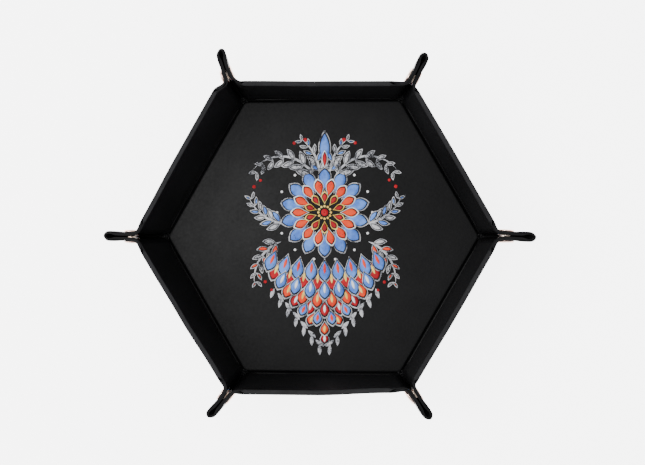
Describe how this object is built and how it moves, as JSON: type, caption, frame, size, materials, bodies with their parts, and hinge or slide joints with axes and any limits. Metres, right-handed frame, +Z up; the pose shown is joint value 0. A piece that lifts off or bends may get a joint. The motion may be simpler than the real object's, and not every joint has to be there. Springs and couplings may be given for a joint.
{
  "type": "folding dice tray",
  "caption": "Hexagonal leather-covered dice tray whose walls fold flat or snap upright at pinched corner ears, for rolling dice on a table.",
  "frame": {"origin": "on the table under the middle of the floor", "axes": "+Z up, +X towards a corner ear, +Y towards the middle of wall 1"},
  "size_m": [0.2454, 0.2152, 0.0421],
  "materials": {
    "cover_leather": "fine-grained black coated leathercloth, soft sheen",
    "liner_leather": "smooth black coated leathercloth with a fine grain, satin",
    "ear_leather": "black coated leathercloth, cover and liner bonded, with bare cut edges",
    "board": "dense dark fibreboard with cut edges",
    "snap_metal": "polished rose-gold plate over brass"
  },
  "bodies": {
    "floor": {"base_cover": "cover_leather", "base_board": "board", "base_liner": "liner_leather"},
    "wall_1": {"wall_1_cover": "cover_leather", "wall_1_board": "board", "wall_1_liner": "liner_leather"},
    "wall_2": {"wall_2_cover": "cover_leather", "wall_2_board": "board", "wall_2_liner": "liner_leather"},
    "wall_3": {"wall_3_cover": "cover_leather", "wall_3_board": "board", "wall_3_liner": "liner_leather"},
    "wall_4": {"wall_4_cover": "cover_leather", "wall_4_board": "board", "wall_4_liner": "liner_leather"},
    "wall_5": {"wall_5_cover": "cover_leather", "wall_5_board": "board", "wall_5_liner": "liner_leather"},
    "wall_6": {"wall_6_cover": "cover_leather", "wall_6_board": "board", "wall_6_liner": "liner_leather"},
    "ear_1a": {"ear_1a": "ear_leather", "snap_1a_socket": "snap_metal", "snap_1a_cap": "snap_metal"},
    "ear_6b": {"ear_6b": "ear_leather", "snap_6b_stud": "snap_metal", "snap_6b_cap": "snap_metal"},
    "ear_2a": {"ear_2a": "ear_leather", "snap_2a_socket": "snap_metal", "snap_2a_cap": "snap_metal"},
    "ear_1b": {"ear_1b": "ear_leather", "snap_1b_stud": "snap_metal", "snap_1b_cap": "snap_metal"},
    "ear_3a": {"ear_3a": "ear_leather", "snap_3a_socket": "snap_metal", "snap_3a_cap": "snap_metal"},
    "ear_2b": {"ear_2b": "ear_leather", "snap_2b_stud": "snap_metal", "snap_2b_cap": "snap_metal"},
    "ear_4a": {"ear_4a": "ear_leather", "snap_4a_socket": "snap_metal", "snap_4a_cap": "snap_metal"},
    "ear_3b": {"ear_3b": "ear_leather", "snap_3b_stud": "snap_metal", "snap_3b_cap": "snap_metal"},
    "ear_5a": {"ear_5a": "ear_leather", "snap_5a_socket": "snap_metal", "snap_5a_cap": "snap_metal"},
    "ear_4b": {"ear_4b": "ear_leather", "snap_4b_stud": "snap_metal", "snap_4b_cap": "snap_metal"},
    "ear_6a": {"ear_6a": "ear_leather", "snap_6a_socket": "snap_metal", "snap_6a_cap": "snap_metal"},
    "ear_5b": {"ear_5b": "ear_leather", "snap_5b_stud": "snap_metal", "snap_5b_cap": "snap_metal"}
  },
  "joints": [
    {"name": "wall_1_fold", "type": "hinge", "parent": "floor", "child": "wall_1", "pos_m": [0, 0.086, 0.0015], "axis": [-1, 0, 0], "range_deg": [0, 80]},
    {"name": "wall_2_fold", "type": "hinge", "parent": "floor", "child": "wall_2", "pos_m": [0.07448, 0.043, 0.0015], "axis": [-0.5, 0.866, 0], "range_deg": [0, 80]},
    {"name": "wall_3_fold", "type": "hinge", "parent": "floor", "child": "wall_3", "pos_m": [0.07448, -0.043, 0.0015], "axis": [0.5, 0.866, 0], "range_deg": [0, 80]},
    {"name": "wall_4_fold", "type": "hinge", "parent": "floor", "child": "wall_4", "pos_m": [0, -0.086, 0.0015], "axis": [1, 0, 0], "range_deg": [0, 80]},
    {"name": "wall_5_fold", "type": "hinge", "parent": "floor", "child": "wall_5", "pos_m": [-0.07448, -0.043, 0.0015], "axis": [0.5, -0.866, 0], "range_deg": [0, 80]},
    {"name": "wall_6_fold", "type": "hinge", "parent": "floor", "child": "wall_6", "pos_m": [-0.07448, 0.043, 0.0015], "axis": [-0.5, -0.866, 0], "range_deg": [0, 80]},
    {"name": "ear_1a_fold", "type": "hinge", "parent": "wall_1", "child": "ear_1a", "pos_m": [0.04906, 0.08877, 0.02122], "axis": [-0.0998, -0.1728, -0.9799], "range_deg": [0, 68]},
    {"name": "ear_6b_fold", "type": "hinge", "parent": "wall_1", "child": "ear_6b", "pos_m": [-0.04906, 0.08877, 0.02122], "axis": [-0.0998, 0.1728, 0.9799], "range_deg": [0, 68]},
    {"name": "ear_2a_fold", "type": "hinge", "parent": "wall_2", "child": "ear_2a", "pos_m": [0.1014, 0.0019, 0.02122], "axis": [-0.1995, 0, -0.9799], "range_deg": [0, 68]},
    {"name": "ear_1b_fold", "type": "hinge", "parent": "wall_2", "child": "ear_1b", "pos_m": [0.05235, 0.08687, 0.02122], "axis": [0.0998, 0.1728, 0.9799], "range_deg": [0, 68]},
    {"name": "ear_3a_fold", "type": "hinge", "parent": "wall_3", "child": "ear_3a", "pos_m": [0.05235, -0.08687, 0.02122], "axis": [-0.0998, 0.1728, -0.9799], "range_deg": [0, 68]},
    {"name": "ear_2b_fold", "type": "hinge", "parent": "wall_3", "child": "ear_2b", "pos_m": [0.1014, -0.0019, 0.02122], "axis": [0.1995, 0, 0.9799], "range_deg": [0, 68]},
    {"name": "ear_4a_fold", "type": "hinge", "parent": "wall_4", "child": "ear_4a", "pos_m": [-0.04906, -0.08877, 0.02122], "axis": [0.0998, 0.1728, -0.9799], "range_deg": [0, 68]},
    {"name": "ear_3b_fold", "type": "hinge", "parent": "wall_4", "child": "ear_3b", "pos_m": [0.04906, -0.08877, 0.02122], "axis": [0.0998, -0.1728, 0.9799], "range_deg": [0, 68]},
    {"name": "ear_5a_fold", "type": "hinge", "parent": "wall_5", "child": "ear_5a", "pos_m": [-0.1014, -0.0019, 0.02122], "axis": [0.1995, 0, -0.9799], "range_deg": [0, 68]},
    {"name": "ear_4b_fold", "type": "hinge", "parent": "wall_5", "child": "ear_4b", "pos_m": [-0.05235, -0.08687, 0.02122], "axis": [-0.0998, -0.1728, 0.9799], "range_deg": [0, 68]},
    {"name": "ear_6a_fold", "type": "hinge", "parent": "wall_6", "child": "ear_6a", "pos_m": [-0.05235, 0.08687, 0.02122], "axis": [0.0998, -0.1728, -0.9799], "range_deg": [0, 68]},
    {"name": "ear_5b_fold", "type": "hinge", "parent": "wall_6", "child": "ear_5b", "pos_m": [-0.1014, 0.0019, 0.02122], "axis": [-0.1995, 0, 0.9799], "range_deg": [0, 68]}
  ],
  "couplings": [
    {"joint": "wall_2_fold", "follows": "wall_1_fold", "ratio": 1},
    {"joint": "wall_3_fold", "follows": "wall_1_fold", "ratio": 1},
    {"joint": "wall_4_fold", "follows": "wall_1_fold", "ratio": 1},
    {"joint": "wall_5_fold", "follows": "wall_1_fold", "ratio": 1},
    {"joint": "wall_6_fold", "follows": "wall_1_fold", "ratio": 1},
    {"joint": "ear_1a_fold", "follows": "wall_1_fold", "ratio": 0.75627},
    {"joint": "ear_6b_fold", "follows": "wall_1_fold", "ratio": 0.75627},
    {"joint": "ear_2a_fold", "follows": "wall_1_fold", "ratio": 0.75627},
    {"joint": "ear_1b_fold", "follows": "wall_1_fold", "ratio": 0.75627},
    {"joint": "ear_3a_fold", "follows": "wall_1_fold", "ratio": 0.75627},
    {"joint": "ear_2b_fold", "follows": "wall_1_fold", "ratio": 0.75627},
    {"joint": "ear_4a_fold", "follows": "wall_1_fold", "ratio": 0.75627},
    {"joint": "ear_3b_fold", "follows": "wall_1_fold", "ratio": 0.75627},
    {"joint": "ear_5a_fold", "follows": "wall_1_fold", "ratio": 0.75627},
    {"joint": "ear_4b_fold", "follows": "wall_1_fold", "ratio": 0.75627},
    {"joint": "ear_6a_fold", "follows": "wall_1_fold", "ratio": 0.75627},
    {"joint": "ear_5b_fold", "follows": "wall_1_fold", "ratio": 0.75627}
  ]
}
